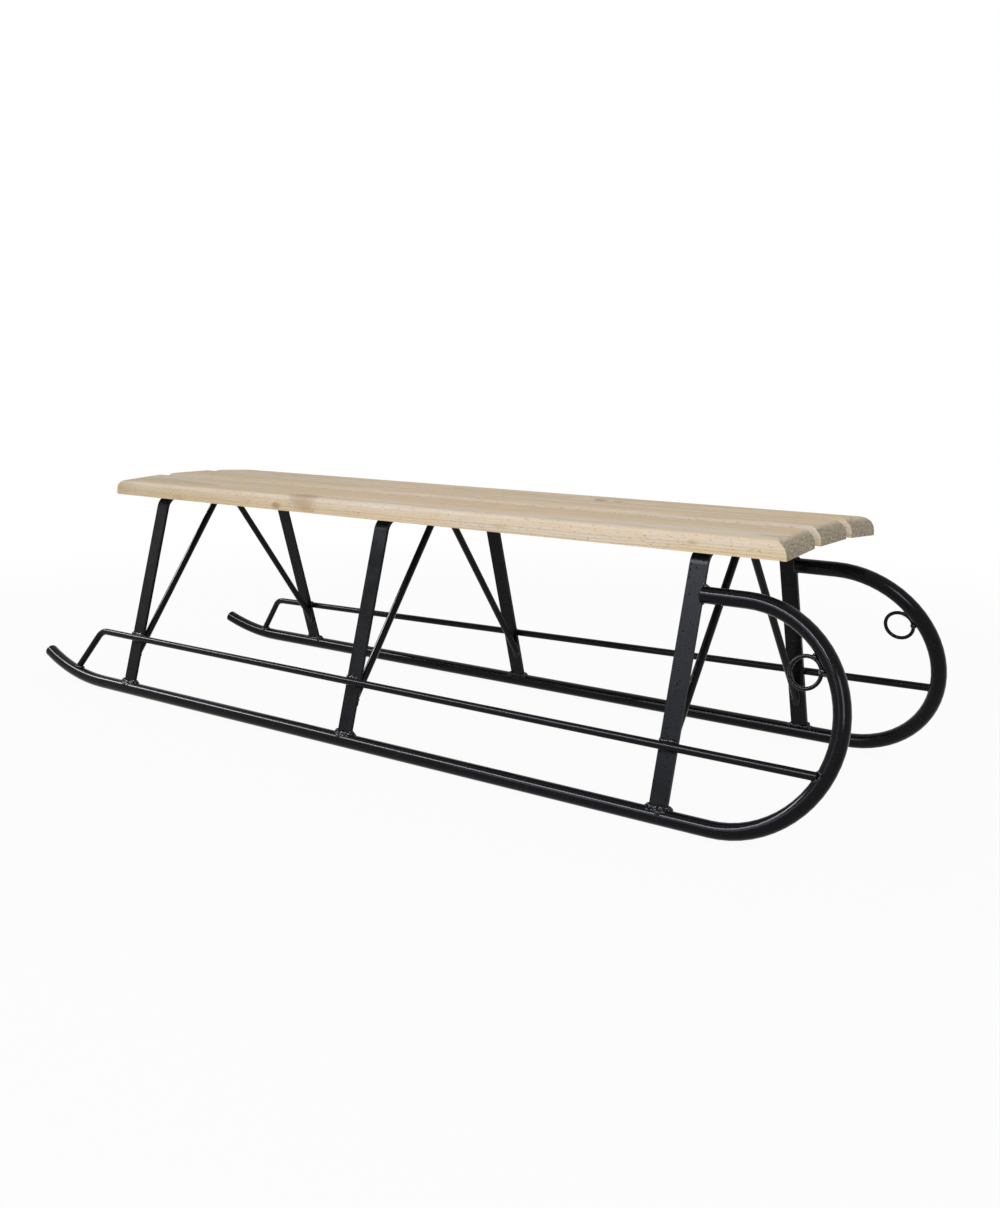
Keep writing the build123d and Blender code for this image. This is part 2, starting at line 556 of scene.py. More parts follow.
def new_material(name: str) -> tuple[bpy.types.Material, Graph, bpy.types.Node]:
    """Starts a node material.

    Args:
        name: the material's name.

    Returns:
        The material, its graph and its Principled BSDF node.
    """
    made = bpy.data.materials.new(name)
    made.use_nodes = True
    return made, Graph(made.node_tree), made.node_tree.nodes["Principled BSDF"]


@dataclass(frozen=True)
class Scar:
    """A light scuff in the paint: where it is, and how far it reaches along each axis."""

    centre: Triple
    reach: Triple


@dataclass(frozen=True)
class FramePaint:
    """Semi-gloss black paint.

    Args:
        name: the material's name.
        peel: strength of the orange peel.
        pits: share of the pits that show.
        relief: depth of the paint's whole relief.
        gloss: lowest and highest roughness.
        gloss_range: values of the clouds between which the roughness rises.
        scars: light scuffs on the piece.
        scar_ragged: how uneven the scuffs' edges are.
        mirror: strength of the paint's reflections.
        dull_pits: how much rougher the paint is in its pits.
        black: the paint's colour.
        dust_grey: the dust's colour.
        dust_share: how much of that colour a speck shows.
        scuff_grey: the scuffs' colour.
    """

    name: str
    peel: float = 0.15
    pits: float = 0.3
    relief: float = 0.035 * MM
    gloss: Range = (0.09, 0.19)
    gloss_range: Range = (0.3, 0.7)
    scars: tuple[Scar, ...] = ()
    scar_ragged: float = 0.9
    mirror: float = 0.09
    dull_pits: float = 0.6
    black: Colour = (0.0034, 0.0034, 0.0044)
    dust_grey: Colour = (0.16, 0.15, 0.15)
    dust_share: float = 0.35
    scuff_grey: Colour = (0.42, 0.41, 0.42)

    def material(self, groups: Groups) -> bpy.types.Material:
        """Builds the paint's material.

        Args:
            groups: the shared node groups.

        Returns:
            The material.
        """
        made, graph, shader = new_material(self.name)
        place = graph.node("TexCoord").outputs["Object"]
        skin = graph.node("Group", node_tree=groups.paint.tree)
        for name, value in (("Vector", place), ("Peel", self.peel), ("Pits", self.pits)):
            graph.feed(skin.inputs[name], value)
        dust = graph.multiply(skin.outputs["Dust"], self.dust_share)
        colour = graph.blend(dust, self.black, self.dust_grey)
        for scar in self.scars:
            mask = groups.spot.place(graph, place, scar.centre, scar.reach, self.scar_ragged)
            colour = graph.blend(mask, colour, self.scuff_grey)
        graph.feed(shader.inputs["Base Color"], colour)
        smooth = graph.step(skin.outputs["Matt"], *self.gloss_range, *self.gloss)
        rough = graph.math("MULTIPLY_ADD", skin.outputs["Pitted"], self.dull_pits, smooth, clamp=True)
        graph.feed(shader.inputs["Roughness"], rough)
        graph.feed(shader.inputs["Specular IOR Level"], self.mirror)
        graph.feed(shader.inputs["Normal"], graph.bump(skin.outputs["Height"], 1.0, self.relief))
        return made


@dataclass(frozen=True)
class ScrewZinc:
    """Bright zinc plate, slightly clouded.

    Args:
        name: the material's name.
        bright: colour of the clear plate.
        clouded: colour of the clouds.
        cloud_scale: waves a metre of the clouds.
        cloud_range: values of that noise at which a cloud begins and is full.
        gloss: roughness of the clear plate and of the clouds.
    """

    name: str = "screw_zinc"
    bright: Colour = (0.60, 0.60, 0.58)
    clouded: Colour = (0.42, 0.43, 0.42)
    cloud_scale: float = 420.0
    cloud_range: Range = (0.35, 0.65)
    gloss: Range = (0.28, 0.45)

    def material(self) -> bpy.types.Material:
        """Builds the zinc's material.

        Returns:
            The material.
        """
        made, graph, shader = new_material(self.name)
        place = graph.node("TexCoord").outputs["Object"]
        cloud = graph.step(graph.noise(place, self.cloud_scale, detail=3), *self.cloud_range)
        graph.feed(shader.inputs["Base Color"], graph.blend(cloud, self.bright, self.clouded))
        graph.feed(shader.inputs["Metallic"], 1.0)
        graph.feed(shader.inputs["Roughness"], graph.step(cloud, 0.0, 1.0, *self.gloss))
        return made


@dataclass(frozen=True)
class BoardMark:
    """A knot, slit or stain, or a line of painted shadow: its centre and reach in millimetres, its strength
    and its colour.
    """

    centre_mm: Triple
    reach_mm: Triple
    strength: float
    colour: Colour


FAR_SCAR = Scar((0.5585, 0.128, 0.188), (0.004, 0.004, 0.0012))
TUBE_PAINT = FramePaint("paint_tube")
LEFT_TUBE_PAINT = FramePaint("paint_tube_left", scars=(FAR_SCAR,))
FLAT_BAR_PAINT = FramePaint("paint_flat_bar", peel=0.6, pits=1.0, relief=0.07 * MM, gloss=(0.26, 0.40))
WELD_PAINT = FramePaint("paint_weld", peel=0.5, pits=0.4, gloss=(0.05, 0.13), mirror=0.22)

# Knot brown also paints a shadow line along the middle slat's far top edge, where the gap lies in shade.
KNOT_AND_GAP_SHADOW_BROWN = (0.17, 0.085, 0.035)
STAIN_BROWN = (0.36, 0.22, 0.11)
SLIT_DARK = (0.03, 0.02, 0.015)


@dataclass(frozen=True)
class BoardPoint:
    """What a board's graph reads at the point that it shades.

    Args:
        place: the point, in the sled's frame.
        aligned: the point in the board's own pattern.
        figure: the pine figure's values by name.
        end_face: one on the sawn ends.
        long_side: one on the long sides.
        upward: one on the top.
    """

    place: Socket
    aligned: Socket
    figure: dict[str, Socket]
    end_face: Socket
    long_side: Socket
    upward: Socket


@dataclass(frozen=True)
class BarePine:
    """One planed, unfinished softwood board.

    A range says at which values of a noise or a place something begins and is full.

    Args:
        name: the material's name.
        turn: tilt of the board about the sled's length.
        start: shift of the pattern, so that no two boards match.
        pith: where the tree's heart ran, seen from the board.
        ring_width: thickness of one year's growth.
        marks: knots, slits and stains, and painted shadow along a gap's edge.
        mark_ragged: how uneven their edges are.
        bleached: the wood's palest colour.
        tan: its colour in the darker bands.
        tan_range: range of the darker bands.
        latewood: colour of the rings' dark part.
        late_share: how much of it shows,
        late_fade: and how much less under the painted edge highlight.
        top_painted_light: painted light, a tint that brightens the top as if more light fell on it.
        rear_tone: tint of the sled's rear part.
        rear_range: places along the sled where that tint is full and has ended.
        painted_edge_highlight: painted highlight, a pale colour on the long sides' upper edge where the
            rounded arris catches light.
        edge_highlight_range: heights over which it comes in.
        edge_highlight_share: how much of it shows.
        warm: tint of the mottling.
        mottle_scale: waves a metre of the mottling along, across and up the board.
        mottle_range: range of the mottling.
        fibre_range: values of the fibres that are shaded apart.
        fibre_tint: tint of the darkest and the palest fibre.
        pore: colour of the torn pores.
        pore_share: how much of it shows,
        pore_side: and how much more on the long sides.
        end_pale: colour of the sawn ends' worn strokes.
        end_dark: colour of the sawn ends between the strokes.
        end_range: range of the strokes.
        end_rings: how much the rings darken the strokes.
        gloss_range: values of the fibres between which the roughness rises.
        gloss: lowest and highest roughness.
        mirror: strength of the wood's reflections.
        relief_depth: depth of the whole relief.
        relief_strength: how much of it shows.
        fibre_height: height of the fibres in the relief.
        pore_depth: depth of the torn pores in it.
        saw_height: height of the saw's strokes in it.
    """

    name: str
    turn: float
    start: Triple
    pith: Triple
    ring_width: float
    marks: tuple[BoardMark, ...]
    mark_ragged: float = 0.8
    bleached: Colour = (0.68, 0.60, 0.505)
    tan: Colour = (0.67, 0.53, 0.355)
    tan_range: Range = (0.40, 0.58)
    latewood: Colour = (0.47, 0.36, 0.24)
    late_share: float = 0.62
    late_fade: float = 0.42
    # Painted light: brightens the top faces as if they were lit more strongly from above.
    top_painted_light: Colour = (1.12, 1.12, 1.13)
    rear_tone: Colour = (0.86, 0.845, 0.77)
    rear_range: Range = (-0.50, 0.05)
    # Painted highlight: the pale band on the long sides' upper edge stands for light caught by the rounded
    # arris.
    painted_edge_highlight: Colour = (0.72, 0.63, 0.53)
    edge_highlight_range: Range = (0.271, 0.279)
    edge_highlight_share: float = 0.55
    warm: Colour = (1.0, 0.955, 0.86)
    mottle_scale: Triple = (38, 130, 130)
    mottle_range: Range = (0.30, 0.70)
    fibre_range: Range = (0.25, 0.75)
    fibre_tint: Range = (0.90, 1.07)
    pore: Colour = (0.33, 0.25, 0.17)
    pore_share: float = 0.16
    pore_side: float = 0.62
    end_pale: Colour = (0.47, 0.41, 0.30)
    end_dark: Colour = (0.20, 0.17, 0.115)
    end_range: Range = (0.40, 0.56)
    end_rings: float = 0.6
    gloss_range: Range = (0.2, 0.8)
    gloss: Range = (0.62, 0.80)
    mirror: float = 0.3
    relief_depth: float = 0.25 * MM
    relief_strength: float = 0.8
    fibre_height: float = 0.7
    pore_depth: float = 0.8
    saw_height: float = 1.2

    def material(self, groups: Groups) -> bpy.types.Material:
        """Builds the board's material.

        Args:
            groups: the shared node groups.

        Returns:
            The material.
        """
        made, graph, shader = new_material(self.name)
        at = self.read_point(graph, groups.pine)
        pore_share = graph.math("MULTIPLY_ADD", at.long_side, self.pore_side, self.pore_share)
        torn = graph.multiply(at.figure["Pores"], pore_share)
        colour = graph.blend(torn, self.long_grain(graph, at), self.pore)
        colour = self.marked(graph, at, groups.spot, colour)
        colour = graph.blend(at.end_face, colour, self.end_grain(graph, at))
        graph.feed(shader.inputs["Base Color"], colour)
        rough = graph.step(at.figure["Fibre"], *self.gloss_range, *self.gloss)
        graph.feed(shader.inputs["Roughness"], rough)
        graph.feed(shader.inputs["Specular IOR Level"], self.mirror)
        height = self.relief(graph, at, torn)
        graph.feed(shader.inputs["Normal"], graph.bump(height, self.relief_strength, self.relief_depth))
        return made

    def read_point(self, graph: Graph, pine: PineFigure) -> BoardPoint:
        """Adds the nodes that read where on the board a point is, and the figure there.

        Args:
            graph: the material's graph.
            pine: the pine figure's group.

        Returns:
            What they read.
        """
        source = graph.node("TexCoord")
        place = source.outputs["Object"]
        shift = {"Vector": place, "Location": self.start, "Rotation": (self.turn, 0, 0)}
        aligned = graph.node("Mapping", shift).outputs[0]
        figure = graph.node("Group", node_tree=pine.tree)
        for name, value in (("Vector", aligned), ("Pith", self.pith), ("Ring Width", self.ring_width)):
            graph.feed(figure.inputs[name], value)
        normal = graph.node("SeparateXYZ", {0: source.outputs["Normal"]}).outputs
        return BoardPoint(
            place=place,
            aligned=aligned,
            figure={s.name: s for s in figure.outputs},
            end_face=graph.step(graph.math("ABSOLUTE", normal["X"]), 0.30, 0.80),
            long_side=graph.step(graph.math("ABSOLUTE", normal["Y"]), 0.5, 0.9),
            upward=graph.step(normal["Z"], 0.70, 1.0),
        )

    def long_grain(self, graph: Graph, at: BoardPoint) -> Socket:
        """Colours the wood along its grain, with painted light on the top and a painted highlight along the
        long sides' upper edge.

        Args:
            graph: the material's graph.
            at: the point that is shaded.

        Returns:
            The colour.
        """
        place = graph.node("SeparateXYZ", {0: at.place}).outputs
        # Painted highlight: the upper part of the long sides is paled and its rings fade, as where the
        # rounded arris catches light.
        edge_highlight = graph.multiply(graph.step(place["Z"], *self.edge_highlight_range), at.long_side)
        rearward = graph.step(place["X"], *self.rear_range, 1.0, 0.0)
        mottle = graph.step(graph.streaks(at.aligned, self.mottle_scale), *self.mottle_range)
        ring_share = graph.math("MULTIPLY_ADD", edge_highlight, -self.late_fade, self.late_share)
        ringed = graph.multiply(at.figure["Latewood"], ring_share)
        colour = graph.blend(graph.step(at.figure["Bands"], *self.tan_range), self.bleached, self.tan)
        colour = graph.blend(graph.multiply(edge_highlight, self.edge_highlight_share), colour, self.painted_edge_highlight)
        colour = graph.blend(mottle, colour, self.warm, "MULTIPLY")
        # Painted light: the top faces are brightened.
        colour = graph.blend(at.upward, colour, self.top_painted_light, "MULTIPLY")
        colour = graph.blend(rearward, colour, self.rear_tone, "MULTIPLY")
        colour = graph.blend(ringed, colour, self.latewood)
        tint = graph.step(at.figure["Fibre"], *self.fibre_range, *self.fibre_tint)
        return graph.blend(1.0, colour, tint, "MULTIPLY")

    def marked(self, graph: Graph, at: BoardPoint, spot: SpotMask, colour: Socket) -> Socket:
        """Lays the board's marks over its colour, painted shadow lines among them.

        Args:
            graph: the material's graph.
            at: the point that is shaded.
            spot: the blots' group.
            colour: the colour without them.

        Returns:
            The colour with them.
        """
        for mark in self.marks:
            centre = tuple(c * MM for c in mark.centre_mm)
            reach = tuple(r * MM for r in mark.reach_mm)
            mask = spot.place(graph, at.place, centre, reach, self.mark_ragged)
            colour = graph.blend(graph.multiply(mask, mark.strength), colour, mark.colour)
        return colour

    def end_grain(self, graph: Graph, at: BoardPoint) -> Socket:
        """Colours the rough sawn ends.

        Args:
            graph: the material's graph.
            at: the point that is shaded.

        Returns:
            The colour.
        """
        strokes = graph.step(at.figure["Saw"], *self.end_range)
        between_rings = graph.math("SUBTRACT", 1.0, graph.multiply(at.figure["Latewood"], self.end_rings))
        return graph.blend(graph.multiply(strokes, between_rings), self.end_dark, self.end_pale)

    def relief(self, graph: Graph, at: BoardPoint, torn: Socket) -> Socket:
        """Works out the wood's relief: fibres and pores along the grain, saw strokes on the ends.

        Args:
            graph: the material's graph.
            at: the point that is shaded.
            torn: strength of the torn pores.

        Returns:
            The height.
        """
        fibres = graph.multiply(at.figure["Fibre"], self.fibre_height)
        along = graph.math("SUBTRACT", fibres, graph.multiply(torn, self.pore_depth))
        along = graph.multiply(along, graph.math("SUBTRACT", 1.0, at.end_face))
        strokes = graph.multiply(at.figure["Saw"], self.saw_height)
        return graph.math("ADD", along, graph.multiply(at.end_face, strokes))


# Meshes


def dress(node: str, material: bpy.types.Material) -> None:
    """Gives a CAD node its finish.

    Args:
        node: the node's name.
        material: the finish.
    """
    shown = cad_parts[node]
    shown.data.materials.clear()
    shown.data.materials.append(material)
    log.info("dressed %s in %s", node, material.name)


def new_piece(
    name: str,
    mesh: bmesh.types.BMesh,
    material: bpy.types.Material,
) -> bpy.types.Object:
    """Makes a piece of the sled from a finished mesh.

    Args:
        name: the piece's name.
        mesh: the mesh, in the sled's frame. It is freed.
        material: the finish.

    Returns:
        The new object, riding on the sled.
    """
    bmesh.ops.remove_doubles(mesh, verts=mesh.verts, dist=SAME_PLACE)
    bmesh.ops.recalc_face_normals(mesh, faces=mesh.faces)
    data = bpy.data.meshes.new(name)
    mesh.to_mesh(data)
    mesh.free()
    data.materials.append(material)
    piece = bpy.data.objects.new(name, data)
    bpy.context.scene.collection.objects.link(piece)
    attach(piece, BODY)
    log.info("made %s, %d faces", name, len(data.polygons))
    return piece


@dataclass
class Welder:
    """Lays weld beads as overlapping puddles that are fused into one skin.

    Args:
        grain: size of the fused skin's faces.
        step: distance between puddles, as a share of the bead's radius.
        uneven: how far a puddle may differ in size and place, as a share of the radius.
        puddle_detail: how finely a puddle's ball is parted.
        flow: how strongly the fused skin is smoothed,
        flow_rounds: and how often.
        dice: where the unevenness comes from.
    """

    grain: float = 0.40 * MM
    step: float = 0.85
    uneven: float = 0.26
    puddle_detail: int = 2
    flow: float = 0.5
    flow_rounds: int = 3
    dice: random.Random = field(default_factory=lambda: random.Random(7))

    def puddle(self, mesh: bmesh.types.BMesh, place: Vector, radius: float) -> None:
        """Adds one puddle.

        Args:
            mesh: the mesh that takes it.
            place: its middle, before the unevenness.
            radius: its radius, before the unevenness.
        """
        spread = radius * self.uneven
        shift = Vector([self.dice.uniform(-spread, spread) for _ in range(3)])
        size = radius * self.dice.uniform(1 - self.uneven, 1 + self.uneven)
        where = Matrix.Translation(place + shift)
        bmesh.ops.create_icosphere(mesh, subdivisions=self.puddle_detail, radius=size, matrix=where)

    def bead(self, mesh: bmesh.types.BMesh, path: Sequence[Vector], radius: float) -> None:
        """Adds one bead's puddles along a path.

        Args:
            mesh: the mesh that takes them.
            path: points along the seam.
            radius: the bead's radius.
        """
        for place in self.spaced(path, radius * self.step):
            self.puddle(mesh, place, radius)

    @staticmethod
    def spaced(path: Sequence[Vector], step: float) -> Iterable[Vector]:
        """Walks along a path.

        Args:
            path: its points.
            step: length of one step.

        Returns:
            The places at even steps.
        """
        left = 0.0
        for start, end in zip(path, path[1:]):
            length = (end - start).length
            while left <= length and length > 0:
                yield start.lerp(end, left / length)
                left += step
            left -= length

    def fuse(self, name: str, mesh: bmesh.types.BMesh, material: bpy.types.Material) -> None:
        """Makes the welds' piece with one smooth skin over all its puddles.

        Args:
            name: the piece's name.
            mesh: the puddles. It is freed.
            material: the paint.
        """
        piece = new_piece(name, mesh, material)
        skin = piece.modifiers.new("skin", "REMESH")
        skin.mode = "VOXEL"
        skin.voxel_size = self.grain
        skin.use_smooth_shade = True
        flow = piece.modifiers.new("flow", "SMOOTH")
        flow.factor = self.flow
        flow.iterations = self.flow_rounds

    @staticmethod
    def seam(
        carrier: str,
        centre: Vector,
        axis: Vector,
        ring: Sequence[Vector],
        reach: float,
    ) -> list[Vector]:
        """Finds the line where a bar meets what carries it.

        Args:
            carrier: node that the bar is welded to.
            centre: a point on the bar's axis near the joint.
            axis: direction of the bar towards its carrier.
            ring: offsets from the axis to points round the bar's surface.
            reach: how far before and past the centre the carrier is looked for.

        Returns:
            The points of the ring that meet the carrier.
        """
        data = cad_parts[carrier].data
        tree = BVHTree.FromPolygons([v.co for v in data.vertices], [tuple(p.vertices) for p in data.polygons])
        found = (tree.ray_cast(centre + offset - axis * reach, axis, 2 * reach)[0] for offset in ring)
        return [place for place in found if place is not None]


def circle_offsets(axis: Vector, radius: float, count: int = 20) -> list[Vector]:
    """Offsets from an axis to points on a closed circle about it."""
    first = axis.orthogonal().normalized() * radius
    return [Matrix.Rotation(math.tau * i / count, 3, axis) @ first for i in range(count + 1)]


# Sizes of the side frames' welds


@dataclass(frozen=True)
class FootWeld:
    """Weld round a leg's foot. Lumps' places are in millimetres, and their sizes shares of the radius.

    Args:
        radius: radius that the lumps' sizes are shares of.
        seam_radius: radius of the bead along the foot's faces.
        seam_shares: where along each edge of the foot the seam is looked for.
        crown: places along the sled of the lumps on the outer face.
        crown_up: height of those lumps above the tube's top,
        crown_out: their distance out of the leg's face,
        crown_size: and their size.
        runs: lumps that ran down the tube's outer side, each with its place along the sled, its turn round
            the tube from the top, and its size.
        run_seat: distance of those lumps' middles from the tube's axis, as a share of its radius.
        edges: lumps at the two narrow edges, each with its distance past the edge, its height above the
            tube's top, and its size.
        edge_across: half the length of those lumps across the leg.
    """

    radius: float = 3.4 * MM
    seam_radius: float = 2.2 * MM
    seam_shares: tuple[float, ...] = (0, 0.25, 0.5, 0.75)
    crown: tuple[float, ...] = (-6.5, -0.5, 5.5)
    crown_up: float = -0.2 * MM
    crown_out: float = 1.2 * MM
    crown_size: float = 0.85
    runs: tuple[Triple, ...] = (
        (-8.5, 0.70, 0.80),
        (-4.0, 0.92, 0.95),
        (0.5, 0.68, 0.85),
        (4.5, 0.95, 0.95),
        (9.0, 0.75, 0.72),
    )
    run_seat: float = 0.82
    edges: tuple[Triple, ...] = ((0.4, 1.4, 0.75), (1.6, -0.4, 0.95), (3.8, -1.4, 0.65))
    edge_across: float = 2.2


@dataclass(frozen=True)
class RodWeld:
    """Welds of a side rod.

    Args:
        radius: the beads' radius.
        crossings: beads where the rod crosses a leg, each with 1 above the rod or -1 below it, half its
            length in millimetres, and its size as a share of the radius.
        near: distance of a bead without size from the rod's middle, as a share of the rod's radius,
        spread: and how much is added to it for the bead's whole size.
        proud: how far the beads' middles stand out of the leg's face.
        front_inset: distance from the rod's front tip to where the seam is looked for,
        front_reach: and how far about it.
        foot_inset: distance of the foot from the rod's rear end along the sled,
        foot_out: its distance out of the side's plane,
        foot_way: the way it runs down, forward, up the lean and outwards,
        foot_reach: and how far about it the seam is looked for.
    """

    radius: float = 1.9 * MM
    crossings: tuple[Triple, ...] = ((1, 8.5, 1.5), (-1, 6.5, 0.75))
    near: float = 0.7
    spread: float = 0.3
    proud: float = 0.7 * MM
    front_inset: float = 2 * MM
    front_reach: float = 8 * MM
    foot_inset: float = 4.5 * MM
    foot_out: float = 0.6 * MM
    foot_way: Triple = (-0.68, -0.73, -0.08)
    foot_reach: float = 14 * MM


@dataclass(frozen=True)
class TubeEndWeld:
    """Weld where the tube's upper end is closed by the front leg's edge.

    Args:
        radius: the beads' radius.
        plug_ahead: distance of the plug's middle past the leg's edge.
        plug_shape: the plug's sizes along, across and up the lean, as shares of the tube's radius.
        plug_detail: how finely the plug's ball is parted.
        face_back: distance of the beads on the leg's faces behind its edge,
        face_out: their distance out of the face,
        face_share: and half their length as a share of the tube's radius.
        tip_back: distance of the lump on the outer face behind the leg's edge,
        tip_out: its distance out of the face,
        tip_size: and its size as a share of the radius.
        rims: beads across the tube, for 1 above it and -1 below it, each with its distance past the leg's
            edge and its height off the tube in millimetres.
        rim_across: half the length of those beads across the tube, in millimetres,
        rim_size: and their size as a share of the radius.
    """

    radius: float = 2.0 * MM
    plug_ahead: float = 1.0 * MM
    plug_shape: Triple = (0.58, 0.98, 0.98)
    plug_detail: int = 3
    face_back: float = 1.2 * MM
    face_out: float = 0.6 * MM
    face_share: float = 0.72
    tip_back: float = 3.4 * MM
    tip_out: float = 0.8 * MM
    tip_size: float = 0.9
    rims: tuple[tuple[int, tuple[Range, ...]], ...] = (
        (1, ((0.0, 1.6), (1.8, 0.2), (4.0, -0.8))),
        (-1, ((0.4, -0.4),)),
    )
    rim_across: float = 1.8
    rim_size: float = 0.85


@dataclass(frozen=True)
class RingWeld:
    """The two tacks of a tow ring.

    Args:
        radius: the tacks' radius.
        turn: their turn round the front bend from where the ring touches it.
        seat: distance of their middles from the tube, as a share of the ring's wire radius.
        across: where they begin and end across the bend, in millimetres.
    """

    radius: float = 3.5 * MM
    turn: float = 0.075
    seat: float = 0.6
    across: Range = (-1.2, 1.8)


# Sub-assemblies


# Heights up the lean of each side's rod, at the rear leg and at the front leg.
ROD_HEIGHTS = {Side.LEFT: (64.0 * MM, 82.0 * MM), Side.RIGHT: (69.5 * MM, 70.0 * MM)}


@dataclass
class SideFrame:
    """One runner with its side rod and tow ring, and the welds that hold them together.

    Args:
        side: which side it is.
        rod_at_rear_leg: the side rod's height up the lean at the rear leg.
        rod_at_front_leg: the same at the front leg.
        tube_paint: finish of the tube, rod and ring.
        weld_paint: finish of the welds.
        welder: lays the welds.
        plan: the shared places.
        foot: sizes of the welds round the legs' feet.
        rod: sizes of the side rod's welds.
        tube_end: sizes of the weld at the tube's upper end.
        ring: sizes of the tow ring's tacks.
    """

    side: Side
    rod_at_rear_leg: float
    rod_at_front_leg: float
    tube_paint: bpy.types.Material
    weld_paint: bpy.types.Material
    welder: Welder
    plan: Plan = Plan()
    foot: FootWeld = FootWeld()
    rod: RodWeld = RodWeld()
    tube_end: TubeEndWeld = TubeEndWeld()
    ring: RingWeld = RingWeld()

    @property
    def word(self) -> str:
        """The side's word in the nodes' names."""
        return self.side.name.lower()

    def build(self) -> None:
        """Dresses the nodes and lays the welds."""
        for node in ("runner", "side_rod", "tow_ring"):
            dress(f"{node}_{self.word}", self.tube_paint)
        mesh = bmesh.new()
        for station in Station:
            self.weld_leg_foot(mesh, station)
            self.weld_rod_to_leg(mesh, station)
        self.weld_rod_ends(mesh)
        self.weld_tube_end(mesh)
        self.weld_ring(mesh)
        self.welder.fuse(f"welds_side_frame_{self.word}", mesh, self.weld_paint)

    def rod_height(self, x: float) -> float:
        """Works out the side rod's height up the lean.

        Args:
            x: the place along the sled.

        Returns:
            The height there.
        """
        rear, front = self.plan.hoop_x(Station.REAR), self.plan.hoop_x(Station.FRONT)
        share = (x - rear) / (front - rear)
        return self.rod_at_rear_leg + share * (self.rod_at_front_leg - self.rod_at_rear_leg)

    def foot_seam(self, station: Station) -> list[Vector]:
        """Finds the line where a leg's foot meets the runner.

        Args:
            station: the leg's hoop.

        Returns:
            The line's points.
        """
        plane, stock = self.plan.side_plane(self.side), self.plan.stock
        x = self.plan.hoop_x(station)
        top = plane.point(x, stock.tube_radius, 0)
        corners = ((-1, -1), (1, -1), (1, 1), (-1, 1), (-1, -1))
        ring = []
        for (x0, out0), (x1, out1) in zip(corners, corners[1:]):
            for share in self.foot.seam_shares:
                along = (x0 + (x1 - x0) * share) * (stock.flat_width / 2)
                across = (out0 + (out1 - out0) * share) * (stock.flat_thickness / 2)
                ring.append(plane.point(x + along, stock.tube_radius, across) - top)
        down = plane.direction(0, -1, 0)
        return self.welder.seam(f"runner_{self.word}", top, down, ring + ring[:1], stock.tube_radius)

    def weld_leg_foot(self, mesh: bmesh.types.BMesh, station: Station) -> None:
        """Runs a bead round a leg's foot, with lumps on its outer side and heavier ones at its narrow edges.

        Args:
            mesh: the mesh that takes it.
            station: the leg's hoop.
        """
        plane, stock, foot = self.plan.side_plane(self.side), self.plan.stock, self.foot
        x = self.plan.hoop_x(station)
        self.welder.bead(mesh, self.foot_seam(station), foot.seam_radius)
        for along in foot.crown:
            out = stock.flat_thickness / 2 + foot.crown_out
            lump = plane.point(x + along * MM, stock.tube_radius + foot.crown_up, out)
            self.welder.puddle(mesh, lump, foot.radius * foot.crown_size)
        for along, turn, size in foot.runs:
            away = stock.tube_radius * foot.run_seat
            lump = plane.point(x + along * MM, away * math.cos(turn), away * math.sin(turn))
            self.welder.puddle(mesh, lump, foot.radius * size)
        for end in (-1, 1):
            for ahead, up, size in foot.edges:
                place = (x + end * (stock.flat_width / 2 + ahead * MM), stock.tube_radius + up * MM)
                edge = [plane.point(*place, o * MM) for o in (-foot.edge_across, foot.edge_across)]
                self.welder.bead(mesh, edge, foot.radius * size)

    def weld_rod_to_leg(self, mesh: bmesh.types.BMesh, station: Station) -> None:
        """Runs short beads above and below the side rod where it crosses a leg.

        Args:
            mesh: the mesh that takes them.
            station: the leg's hoop.
        """
        plane, stock, rod = self.plan.side_plane(self.side), self.plan.stock, self.rod
        x = self.plan.hoop_x(station)
        out = stock.flat_thickness / 2 + rod.proud
        for above, half_length, size in rod.crossings:
            up = self.rod_height(x) + above * stock.rod_radius * (rod.near + rod.spread * size)
            path = [plane.point(x + end * (half_length * MM), up, out) for end in (-1, 1)]
            self.welder.bead(mesh, path, rod.radius * size)

    def weld_rod_ends(self, mesh: bmesh.types.BMesh) -> None:
        """Runs a bead round the side rod's two ends.

        Args:
            mesh: the mesh that takes them.
        """
        plane, stock, rod = self.plan.side_plane(self.side), self.plan.stock, self.rod
        low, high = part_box(f"side_rod_{self.word}")
        front_x = high.x - rod.front_inset
        out = stock.flat_thickness / 2 + stock.rod_radius
        front = plane.point(front_x, self.rod_height(front_x), out)
        foot_up = (low.z - plane.axis_height) / math.cos(plane.lean)
        foot = plane.point(low.x + rod.foot_inset, foot_up, rod.foot_out)
        ends = (
            (front, plane.direction(1, 0, 0), rod.front_reach),
            (foot, plane.direction(*rod.foot_way), rod.foot_reach),
        )
        for centre, way, reach in ends:
            ring = circle_offsets(way, stock.rod_radius)
            seam = self.welder.seam(f"runner_{self.word}", centre, way, ring, reach)
            self.welder.bead(mesh, seam, rod.radius)

